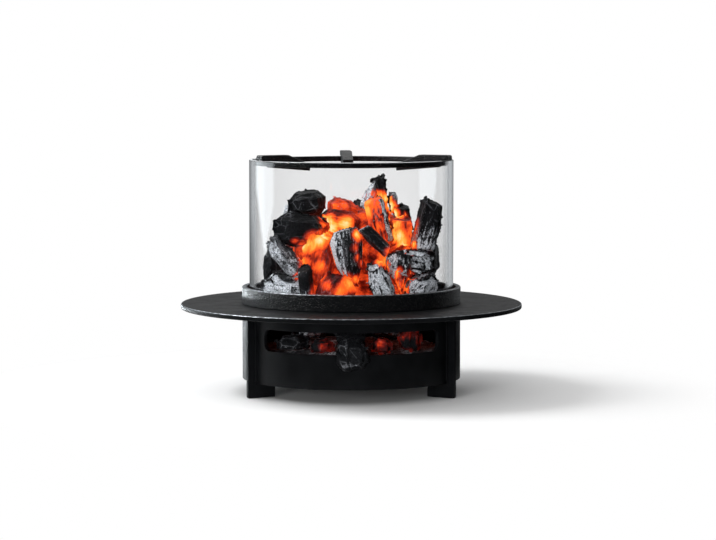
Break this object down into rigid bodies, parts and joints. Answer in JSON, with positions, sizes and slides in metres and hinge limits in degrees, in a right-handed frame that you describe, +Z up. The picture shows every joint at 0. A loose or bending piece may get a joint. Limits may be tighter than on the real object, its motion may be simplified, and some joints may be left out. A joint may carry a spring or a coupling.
{
  "type": "tabletop fire pit",
  "caption": "Round tabletop charcoal fire pit: slotted drum on plate legs, flat tray, cast collar, open glass cylinder round the fire and a radial-armed pan rest on its rim.",
  "frame": {"origin": "on the pit's axis, at the level of the feet's undersides", "axes": "+Z up along the pit's axis; -Y towards the front, where the air slot is; +X to the right as seen from the front"},
  "size_m": [0.4, 0.4, 0.2796],
  "materials": {
    "black_steel": "satin",
    "cast_iron": "matte",
    "clear_glass": "gloss",
    "gasket": "matte",
    "charcoal": "matte",
    "ashen_charcoal": "matte",
    "ember": "matte",
    "ash": "matte"
  },
  "bodies": {
    "base": {"drum_shell": "black_steel", "leg_right": "black_steel", "leg_rear": "black_steel", "leg_left": "black_steel", "floor_pan": "black_steel", "ash_bed": "ash", "coal_in_slot": "charcoal", "fallen_ember_left": "ember", "fallen_ember_right": "ember", "fallen_ember_side": "ember", "cinder_left": "charcoal", "cinder_middle": "charcoal", "cinder_back_left": "ashen_charcoal", "cinder_back_right": "ashen_charcoal"},
    "grate": {"fire_grate": "cast_iron", "coal_centre_log": "ashen_charcoal", "coal_front_ash": "ashen_charcoal", "coal_bent_branch": "charcoal", "coal_glowing_slab": "ember", "coal_right_upright": "charcoal", "coal_right_ash": "ashen_charcoal", "coal_right_low": "ashen_charcoal", "coal_left_top": "charcoal", "coal_left_big": "charcoal", "coal_left_leaning": "ashen_charcoal", "coal_left_ash": "ashen_charcoal", "coal_left_log": "charcoal", "coal_peak_grey": "ashen_charcoal", "coal_peak_black": "charcoal", "coal_top_small": "ashen_charcoal", "coal_right_black": "charcoal", "ember_left": "ember", "ember_middle": "ember", "ember_right": "ember", "ember_front_low": "ember", "ember_right_low": "ember", "coal_middle_top": "charcoal", "coal_back_top": "charcoal", "coal_back_left": "ashen_charcoal", "coal_back_middle": "charcoal", "coal_back_right": "ashen_charcoal", "coal_right_side": "charcoal", "coal_left_side": "charcoal", "coal_low_back_left": "ashen_charcoal", "coal_low_back": "ashen_charcoal", "coal_low_back_right": "charcoal", "ember_core_left_low": "ember", "ember_core_left_high": "ember", "ember_core_right_low": "ember", "ember_core_right_high": "ember", "ember_core_top": "ember"},
    "tray": {"tray_plate": "black_steel"},
    "collar": {"glass_collar": "cast_iron", "glass_gasket": "gasket"},
    "glass": {"glass_cylinder": "clear_glass"},
    "pan_rest": {"trivet_ring": "cast_iron", "trivet_arm_right": "cast_iron", "trivet_arm_rear": "cast_iron", "trivet_arm_left": "cast_iron"}
  },
  "joints": [
    {"name": "grate_lift", "type": "slide", "parent": "base", "child": "grate", "axis": [0, 0, 1], "range_m": [0, 0.05]},
    {"name": "tray_lift", "type": "slide", "parent": "grate", "child": "tray", "axis": [0, 0, 1], "range_m": [0, 0.18]},
    {"name": "collar_lift", "type": "slide", "parent": "tray", "child": "collar", "axis": [0, 0, 1], "range_m": [0, 0.18]},
    {"name": "glass_lift", "type": "slide", "parent": "collar", "child": "glass", "axis": [0, 0, 1], "range_m": [0, 0.18]},
    {"name": "pan_rest_lift", "type": "slide", "parent": "glass", "child": "pan_rest", "axis": [0, 0, 1], "range_m": [0, 0.05]}
  ]
}
